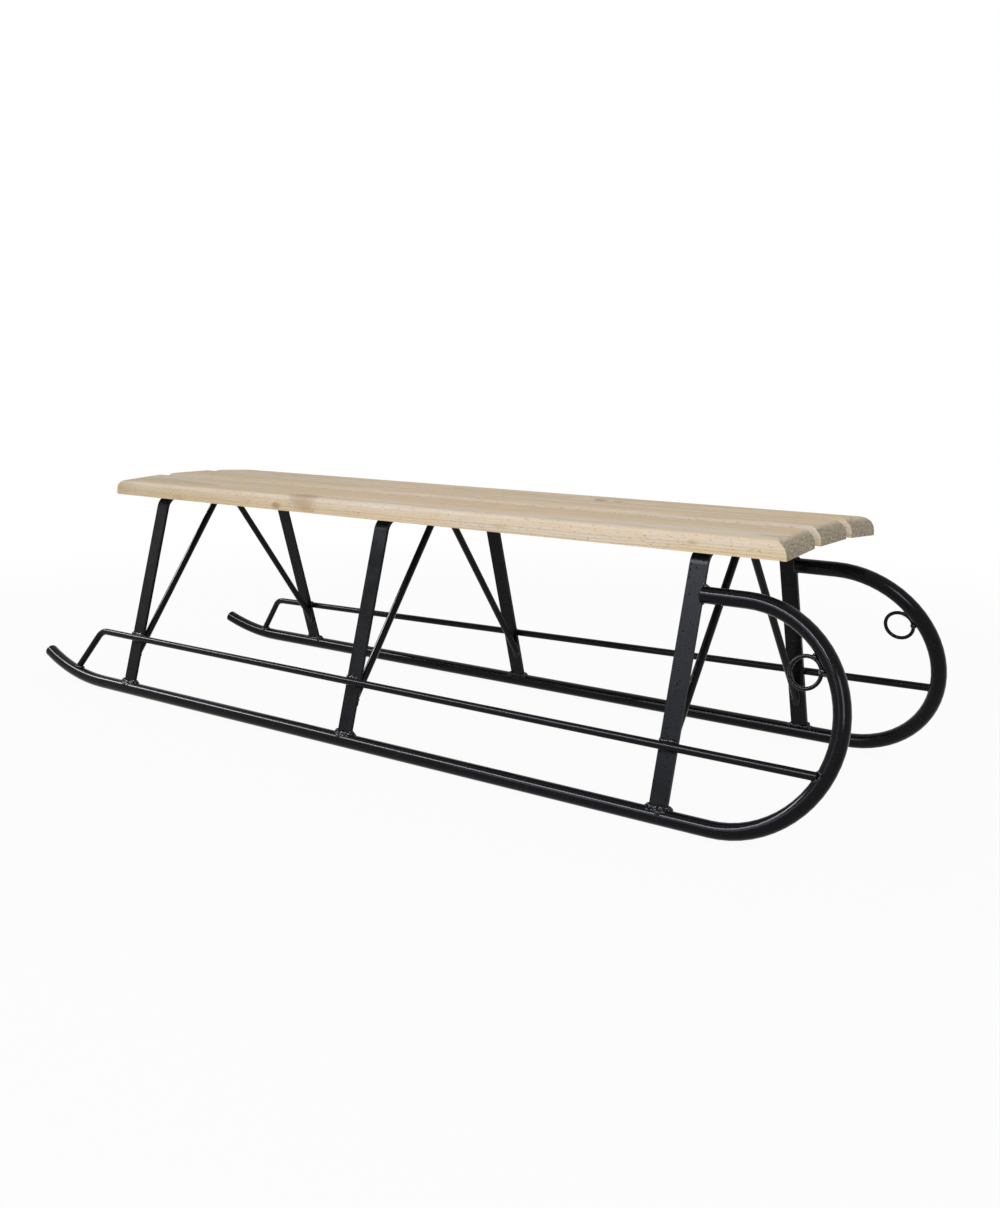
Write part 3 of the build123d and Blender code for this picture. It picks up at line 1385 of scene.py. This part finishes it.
    def weld_tube_end(self, mesh: bmesh.types.BMesh) -> None:
        """Closes the tube's upper end on the front leg's edge, with a bead down both faces of the leg.

        Args:
            mesh: the mesh that takes it.
        """
        plane, stock, weld = self.plan.side_plane(self.side), self.plan.stock, self.tube_end
        edge_x = self.plan.hoop_x(Station.FRONT) + stock.flat_width / 2
        up = 2 * self.plan.loop_radius
        self.plug_tube(mesh, plane.point(edge_x + weld.plug_ahead, up, 0))
        half_length = stock.tube_radius * weld.face_share
        for face in (-1, 1):
            out = face * (stock.flat_thickness / 2 + weld.face_out)
            path = [plane.point(edge_x - weld.face_back, up + end * half_length, out) for end in (-1, 1)]
            self.welder.bead(mesh, path, weld.radius)
        tip = plane.point(edge_x - weld.tip_back, up, stock.flat_thickness / 2 + weld.tip_out)
        self.welder.puddle(mesh, tip, weld.radius * weld.tip_size)
        for end, rows in weld.rims:
            for ahead, rise in rows:
                place = (edge_x + ahead * MM, up + end * (stock.tube_radius + rise * MM))
                across = [plane.point(*place, o * MM) for o in (-weld.rim_across, weld.rim_across)]
                self.welder.bead(mesh, across, weld.radius * weld.rim_size)

    def plug_tube(self, mesh: bmesh.types.BMesh, place: Vector) -> None:
        """Closes the tube's mouth with a flattened ball of weld.

        Args:
            mesh: the mesh that takes it.
            place: the ball's middle.
        """
        lean_turn = Matrix.Rotation(self.side.value * self.plan.lean, 4, "X")
        where = Matrix.Translation(place) @ lean_turn @ Matrix.Diagonal((*self.tube_end.plug_shape, 1))
        radius, detail = self.plan.stock.tube_radius, self.tube_end.plug_detail
        bmesh.ops.create_icosphere(mesh, subdivisions=detail, radius=radius, matrix=where)

    def weld_ring(self, mesh: bmesh.types.BMesh) -> None:
        """Tacks the tow ring to the front bend on both sides of where they touch.

        Args:
            mesh: the mesh that takes them.
        """
        plane, stock, ring = self.plan.side_plane(self.side), self.plan.stock, self.ring
        away = self.plan.loop_radius - stock.tube_radius - stock.ring_wire_radius * ring.seat
        for turn in (-ring.turn, ring.turn):
            angle = self.plan.ring_direction + turn
            x = self.plan.loop_x + away * math.cos(angle)
            up = self.plan.loop_radius + away * math.sin(angle)
            path = [plane.point(x, up, o * MM) for o in ring.across]
            self.welder.bead(mesh, path, ring.radius)


@dataclass
class HoopAssembly:
    """One hoop with its two braces, their welds and the screws that hold the slats.

    Args:
        station: which hoop it is.
        flat_paint: finish of the hoop's flat bar.
        rod_paint: finish of the braces.
        weld_paint: finish of the welds.
        zinc: finish of the screws.
        welder: lays the welds.
        plan: the shared places.
        brace_half_gap: half the distance between the braces' tops.
        brace_foot: height up the lean of the braces' feet.
        brace_bead: radius of the beads round the braces' ends.
        brace_foot_reach: how far about a brace's foot the seam is looked for,
        brace_top_reach: and how far about its top.
        screw_offsets: places of an outer slat's two screws, from its middle outwards.
        middle_screw_offset: distance of the middle slat's screws from its middle, clear of the braces.
        head_radius: radius of a screw's head.
        head_height: height of the head.
        head_sides: number of sides that its circle is parted into.
        head_rounding: its rounding, as a share of its height,
        head_steps: and the number of steps in that rounding.
        recess_depth: depth of the cross recess.
        recess_reach: length of the recess's arms from the middle.
        recess_width: width of the arms.
    """

    station: Station
    flat_paint: bpy.types.Material
    rod_paint: bpy.types.Material
    weld_paint: bpy.types.Material
    zinc: bpy.types.Material
    welder: Welder
    plan: Plan = Plan()
    brace_half_gap: float = 9.2 * MM
    brace_foot: float = 50 * MM
    brace_bead: float = 1.9 * MM
    brace_foot_reach: float = 24 * MM
    brace_top_reach: float = 16 * MM
    screw_offsets: tuple[float, float] = (-24 * MM, -4 * MM)
    middle_screw_offset: float = 25 * MM
    head_radius: float = 4.2 * MM
    head_height: float = 2.6 * MM
    head_sides: int = 24
    head_rounding: float = 0.55
    head_steps: int = 4
    recess_depth: float = 1.6 * MM
    recess_reach: float = 2.3 * MM
    recess_width: float = 0.9 * MM

    def build(self) -> None:
        """Dresses the nodes, lays the welds and sets the screws."""
        dress(f"hoop_{self.station.value}", self.flat_paint)
        mesh = bmesh.new()
        for side in Side:
            dress(f"brace_{self.station.value}_{side.name.lower()}", self.rod_paint)
            self.weld_brace(mesh, side)
        self.welder.fuse(f"welds_braces_{self.station.value}", mesh, self.weld_paint)
        self.set_screws()

    def weld_brace(self, mesh: bmesh.types.BMesh, side: Side) -> None:
        """Runs a bead round both ends of one brace.

        Args:
            mesh: the mesh that takes them.
            side: which of the hoop's braces it is.
        """
        plane, stock = self.plan.side_plane(side), self.plan.stock
        low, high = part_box(f"brace_{self.station.value}_{side.name.lower()}")
        x = (low.x + high.x) / 2
        under = self.plan.crossbar_top - stock.flat_thickness
        top = Vector((x, side.value * self.brace_half_gap, under))
        foot = plane.point(x, self.brace_foot, -stock.flat_thickness / 2)
        down = (foot - top).normalized()
        hoop = f"hoop_{self.station.value}"
        for centre, axis, reach in ((foot, down, self.brace_foot_reach), (top, -down, self.brace_top_reach)):
            ring = circle_offsets(axis, stock.rod_radius)
            seam = self.welder.seam(hoop, centre, axis, ring, reach)
            self.welder.bead(mesh, seam, self.brace_bead)

    def screw_places(self) -> Iterable[tuple[Vector, float]]:
        """Finds where the hoop's screws sit.

        Returns:
            Each screw's place under the crossbar, and the bar's tilt there.
        """
        under = self.plan.crossbar_top - self.plan.stock.flat_thickness
        x = self.plan.hoop_x(self.station)
        crank_y = self.plan.slat_pitch / 2
        for end in (-1, 1):
            yield Vector((x, end * self.middle_screw_offset, under)), 0.0
        for plank in (Plank.LEFT, Plank.RIGHT):
            for offset in self.screw_offsets:
                along = self.plan.slat_pitch / 2 + offset
                y = plank.value * (crank_y + along * math.cos(self.plan.drop))
                z = under - along * math.sin(self.plan.drop)
                yield Vector((x, y, z)), -plank.value * self.plan.drop

    def screw_head(self, mesh: bmesh.types.BMesh, place: Matrix, turn: float) -> None:
        """Adds one pan head with a cross recess, its top towards the place's -Z.

        Args:
            mesh: the mesh that takes it.
            place: where the head's seat is, and how it is turned.
            turn: the recess's turn about the screw.
        """
        head = bmesh.new()
        bmesh.ops.create_circle(head, segments=self.head_sides, radius=self.head_radius, cap_ends=True)
        raised = bmesh.ops.extrude_face_region(head, geom=list(head.faces))
        top = [v for v in raised["geom"] if isinstance(v, bmesh.types.BMVert)]
        bmesh.ops.translate(head, verts=top, vec=(0, 0, self.head_height))
        top_face = next(f for f in head.faces if all(v in top for v in f.verts))
        bmesh.ops.bevel(
            head,
            geom=list(top_face.edges),
            offset=self.head_height * self.head_rounding,
            offset_type="OFFSET",
            segments=self.head_steps,
            profile=0.5,
            affect="EDGES",
            material=-1,
        )
        top_face = max(head.faces, key=lambda f: (f.calc_center_median().z, f.calc_area()))
        bmesh.ops.delete(head, geom=[top_face], context="FACES_ONLY")
        cross = self.recess(head)
        outer = [e for e in head.edges if e.is_boundary and e not in cross]
        bmesh.ops.bridge_loops(head, edges=outer + cross)
        bmesh.ops.triangulate(head, faces=[f for f in head.faces if len(f.verts) > 4])
        bmesh.ops.rotate(head, verts=head.verts, cent=(0, 0, 0), matrix=Matrix.Rotation(turn, 3, "Z"))
        bmesh.ops.transform(head, matrix=place @ Matrix.Rotation(math.pi, 4, "X"), verts=head.verts)
        scratch = bpy.data.meshes.new("screw_head")
        head.to_mesh(scratch)
        head.free()
        mesh.from_mesh(scratch)
        bpy.data.meshes.remove(scratch)

    def recess(self, head: bmesh.types.BMesh) -> list[bmesh.types.BMEdge]:
        """Adds the cross recess.

        Args:
            head: the mesh of the head, in which the recess isn't joined to the top yet.

        Returns:
            The edges of its mouth.
        """
        grid = bmesh.ops.create_grid(head, x_segments=3, y_segments=3, size=1.5)["verts"]
        for vert in grid:
            for axis in (0, 1):
                far = abs(vert.co[axis]) > 1
                reach = self.recess_reach if far else self.recess_width / 2
                vert.co[axis] = math.copysign(reach, vert.co[axis])
            vert.co.z = self.head_height - self.recess_depth
        corners = [f for v in grid for f in v.link_faces if len(v.link_faces) == 1]
        bmesh.ops.delete(head, geom=corners, context="FACES")
        floor = [f for v in grid if v.is_valid for f in v.link_faces]
        raised = bmesh.ops.extrude_face_region(head, geom=list(set(floor)))
        walls_top = [v for v in raised["geom"] if isinstance(v, bmesh.types.BMVert)]
        bmesh.ops.translate(head, verts=walls_top, vec=(0, 0, self.recess_depth))
        lid = [f for f in raised["geom"] if isinstance(f, bmesh.types.BMFace)]
        mouth = [e for e in {e for f in lid for e in f.edges} if sum(f in lid for f in e.link_faces) == 1]
        bmesh.ops.delete(head, geom=lid, context="FACES_ONLY")
        return mouth

    def set_screws(self) -> None:
        """Makes the hoop's six screw heads as one piece."""
        mesh = bmesh.new()
        dice = random.Random(self.station.value)
        for place, tilt in self.screw_places():
            seat = Matrix.Translation(place) @ Matrix.Rotation(tilt, 4, "X")
            self.screw_head(mesh, seat, dice.uniform(0, math.pi / 2))
        new_piece(f"screws_{self.station.value}", mesh, self.zinc)


@dataclass
class Seat:
    """The three slats, each from its own board.

    Args:
        groups: the shared node groups.
        plan: the shared places.
    """

    groups: Groups
    plan: Plan = Plan()

    def boards(self) -> dict[Plank, BarePine]:
        """Lists the boards.

        Returns:
            Each slat's board, with the marks that it shows.
        """
        left = BarePine(
            "pine_left",
            turn=-self.plan.drop,
            start=(0.31, 0.02, -0.01),
            pith=(0, 0.115, 0.20),
            ring_width=3.6 * MM,
            marks=(
                BoardMark((387, 116, 286), (6, 3, 4), 0.85, SLIT_DARK),
                BoardMark((204, 53, 289), (13, 8, 7), 0.60, STAIN_BROWN),
                BoardMark((200, 52, 289), (6, 4, 4), 0.55, KNOT_AND_GAP_SHADOW_BROWN),
                BoardMark((229, 52, 288), (12, 6, 7), 0.50, STAIN_BROWN),
                BoardMark((-35, 54, 290), (2.2, 1.3, 3), 0.8, SLIT_DARK),
            ),
        )
        middle = BarePine(
            "pine_middle",
            turn=0.0,
            start=(-0.17, 0.0, 0.03),
            pith=(0, -0.03, 0.17),
            ring_width=4.4 * MM,
            marks=(
                # Painted shadow: these two dark marks along the middle slat's far top edge stand for the
                # shade in the gap below the left slat's side.
                BoardMark((270, 33, 289), (8, 3, 4), 0.70, KNOT_AND_GAP_SHADOW_BROWN),
                BoardMark((293, 33, 289), (9, 3, 4), 0.70, KNOT_AND_GAP_SHADOW_BROWN),
                BoardMark((444, 32, 289), (7, 3, 4), 0.90, SLIT_DARK),
            ),
        )
        right = BarePine(
            "pine_right",
            turn=self.plan.drop,
            start=(0.05, 0.01, 0.0),
            pith=(0, -0.10, 0.215),
            ring_width=3.3 * MM,
            marks=(
                BoardMark((-167, -121, 271), (12, 6, 6), 0.85, STAIN_BROWN),
                BoardMark((-122, -117, 283), (36, 20, 20), 0.60, STAIN_BROWN),
                BoardMark((-114, -121, 270), (18, 6, 5), 0.45, STAIN_BROWN),
                BoardMark((-355, -120, 268), (16, 5, 6), 0.35, STAIN_BROWN),
                BoardMark((-490, -117, 282), (60, 18, 22), 0.42, STAIN_BROWN),
                BoardMark((56, -82, 290), (2.4, 1.6, 3), 0.9, SLIT_DARK),
                BoardMark((416, -121, 275), (7, 4, 3.5), 0.45, STAIN_BROWN),
                BoardMark((182, -121, 272), (16, 4, 3.5), 0.35, STAIN_BROWN),
            ),
        )
        return {Plank.LEFT: left, Plank.MIDDLE: middle, Plank.RIGHT: right}

    def build(self) -> None:
        """Dresses the slats."""
        for plank, board in self.boards().items():
            dress(f"slat_{plank.name.lower()}", board.material(self.groups))


# Studio


@dataclass(frozen=True)
class SoftBox:
    """A rectangular lamp.

    Args:
        name: the lamp's name.
        place: where it stands.
        target: the point that it faces.
        size: its width and height.
        power: its power in watts.
        colour: its light's colour.
        fills: one that fills lights the surfaces, and the others are seen by the paint's reflections only.
    """

    name: str
    place: Triple
    target: Triple
    size: Range
    power: float
    colour: Colour
    fills: bool = False

    def build(self) -> None:
        """Sets up the lamp."""
        data = bpy.data.lights.new(self.name, "AREA")
        data.shape = "RECTANGLE"
        data.size, data.size_y = self.size
        data.energy = self.power
        data.color = self.colour
        lamp = bpy.data.objects.new(self.name, data)
        lamp.location = self.place
        lamp.rotation_euler = (Vector(self.target) - Vector(self.place)).to_track_quat("-Z", "Y").to_euler()
        lamp.visible_diffuse = self.fills
        lamp.visible_glossy = not self.fills
        bpy.context.scene.collection.objects.link(lamp)


WHITE_LIGHT = (1.0, 1.0, 1.0)
COOL_LIGHT = (0.90, 0.94, 1.0)
COLD_LIGHT = (0.73, 0.80, 1.0)
SLED_MIDDLE = (0.0, 0.0, 0.15)

SOFT_BOXES = (
    SoftBox("gloss_strip", (-1.4, -1.5, 1.75), (-0.6, 0.0, 0.15), (4.4, 0.34), 215.0, COOL_LIGHT),
    SoftBox("gloss_corner", (2.05, -1.92, 1.37), (0.55, -0.15, 0.15), (0.8, 1.1), 38.0, COOL_LIGHT),
    SoftBox("gloss_panel", (-0.9, -2.7, 1.45), SLED_MIDDLE, (1.5, 1.1), 30.0, COLD_LIGHT),
    SoftBox("fill_panel", (1.0, -3.0, 0.9), SLED_MIDDLE, (2.4, 1.4), 42.0, WHITE_LIGHT, fills=True),
)


@dataclass
class Studio:
    """The pale floor, the soft lights, the white surroundings and the camera.

    Args:
        camera_place: where the lens is, in metres.
        heading: turn of the view to the left of +Y.
        tilt: how far the view looks down.
        roll: how far the camera is turned about its view.
        focal_px: focal length in pixels of the photograph.
        photo_height: height of the photograph in pixels.
        sensor: the sensor's longer side in millimetres.
        view_end: how far the camera sees.
        ambient: strength of the light from the white surroundings.
        floor_reach: distance of the floor's edges from its middle.
        floor_tones: the floor's darkest and palest colour.
        floor_scale: waves a metre of the change between them.
        floor_rough: the floor's roughness.
        floor_lift: how much of the floor under the sled shows plain white, which fades its shadow.
        white_range: distances from the sled between which the floor turns wholly white.
    """

    camera_place: Triple = (0.96246, -1.20587, 0.4416)
    heading: float = math.radians(35.713)
    tilt: float = math.radians(10.86)
    roll: float = math.radians(0.42)
    focal_px: float = 1222.7
    photo_height: float = 1208.0
    sensor: float = 36.0
    view_end: float = 200.0
    ambient: float = 0.60
    floor_reach: float = 40.0
    floor_tones: tuple[Colour, Colour] = ((0.80, 0.80, 0.80), (0.82, 0.82, 0.82))
    floor_scale: float = 3.0
    floor_rough: float = 0.9
    floor_lift: float = 0.93
    white_range: Range = (0.9, 1.9)

    def build(self) -> None:
        """Sets up everything round the sled."""
        self.make_camera()
        self.make_world()
        self.make_floor()
        for box in SOFT_BOXES:
            box.build()
        bpy.context.scene.view_settings.view_transform = "Standard"

    def make_camera(self) -> None:
        """Places the camera as the photograph was taken."""
        level = Vector((math.cos(self.heading), math.sin(self.heading), 0))
        flat = math.cos(self.tilt)
        across, along = -math.sin(self.heading) * flat, math.cos(self.heading) * flat
        forward = Vector((across, along, -math.sin(self.tilt)))
        upright = level.cross(forward)
        right = level * math.cos(self.roll) + upright * math.sin(self.roll)
        up = upright * math.cos(self.roll) - level * math.sin(self.roll)
        data = bpy.data.cameras.new("photo_camera")
        data.sensor_width = self.sensor
        data.lens = self.focal_px * self.sensor / self.photo_height
        data.clip_end = self.view_end
        camera = bpy.data.objects.new("photo_camera", data)
        axes = Matrix((right, up, -forward)).transposed().to_4x4()
        camera.matrix_world = Matrix.Translation(self.camera_place) @ axes
        bpy.context.scene.collection.objects.link(camera)
        bpy.context.scene.camera = camera

    def make_world(self) -> None:
        """Makes the surroundings white where they are seen or mirrored, and a plain light elsewhere."""
        world = bpy.data.worlds.new("surroundings")
        bpy.context.scene.world = world
        world.use_nodes = True
        graph = Graph(world.node_tree)
        shade = world.node_tree.nodes["Background"]
        graph.feed(shade.inputs["Color"], WHITE_LIGHT)
        graph.feed(shade.inputs["Strength"], graph.step(seen_directly(graph), 0.0, 1.0, self.ambient, 1.0))

    def make_floor(self) -> None:
        """Lays a wide pale floor that reads white and keeps a soft shadow."""
        mesh = bmesh.new()
        bmesh.ops.create_grid(mesh, x_segments=1, y_segments=1, size=self.floor_reach)
        data = bpy.data.meshes.new("floor")
        mesh.to_mesh(data)
        mesh.free()
        data.materials.append(self.floor_white())
        floor = bpy.data.objects.new("floor", data)
        bpy.context.scene.collection.objects.link(floor)

    def floor_white(self) -> bpy.types.Material:
        """Builds the floor's material, which turns plain white away from the sled where it is seen directly.

        Returns:
            The material.
        """
        made, graph, shader = new_material("floor_white")
        place = graph.node("TexCoord").outputs["Object"]
        tone = graph.blend(graph.noise(place, self.floor_scale, detail=3), *self.floor_tones)
        graph.feed(shader.inputs["Base Color"], tone)
        graph.feed(shader.inputs["Roughness"], self.floor_rough)
        white = graph.step(graph.length(place), *self.white_range, self.floor_lift, 1.0)
        glow = graph.node("Emission", {"Color": WHITE_LIGHT, "Strength": 1.0})
        pale = graph.node("MixShader", {0: white, 1: shader.outputs[0], 2: glow.outputs[0]})
        mixed = graph.node("MixShader", {0: seen_directly(graph), 1: shader.outputs[0], 2: pale.outputs[0]})
        graph.feed(made.node_tree.nodes["Material Output"].inputs["Surface"], mixed.outputs[0])
        return made


def main() -> None:
    """Builds the studio and the sled's sub-assemblies in order."""
    logging.basicConfig(level=logging.INFO, format="%(name)s: %(message)s")
    Studio().build()
    groups = Groups()
    tube = TUBE_PAINT.material(groups)
    tubes = {Side.LEFT: LEFT_TUBE_PAINT.material(groups), Side.RIGHT: tube}
    flat_bar = FLAT_BAR_PAINT.material(groups)
    weld = WELD_PAINT.material(groups)
    zinc = ScrewZinc().material()
    welder = Welder()
    for side in Side:
        SideFrame(side, *ROD_HEIGHTS[side], tubes[side], weld, welder).build()
    for station in Station:
        HoopAssembly(station, flat_bar, tube, weld, zinc, welder).build()
    Seat(groups).build()


if __name__ == "__main__":
    main()
